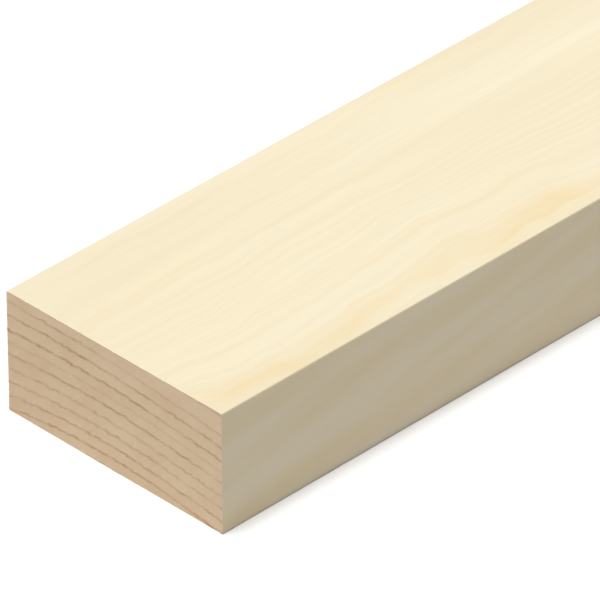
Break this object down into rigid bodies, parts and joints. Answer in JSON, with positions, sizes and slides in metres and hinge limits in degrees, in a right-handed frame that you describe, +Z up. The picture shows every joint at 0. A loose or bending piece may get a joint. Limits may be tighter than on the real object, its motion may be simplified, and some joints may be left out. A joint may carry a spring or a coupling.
{
  "type": "timber plank",
  "caption": "Straight planed softwood plank of plain rectangular section, with lightly eased long edges and square-sawn ends, lying flat on a broad face.",
  "frame": {"origin": "middle of the underside, half way along the plank and half way across it", "axes": "+X along the length, +Y across the width, +Z up through the thickness"},
  "size_m": [1.8, 0.095, 0.045],
  "materials": {
    "planed_softwood": "bare planed wood, matt"
  },
  "bodies": {
    "root": {"plank": "planed_softwood"}
  },
  "joints": []
}
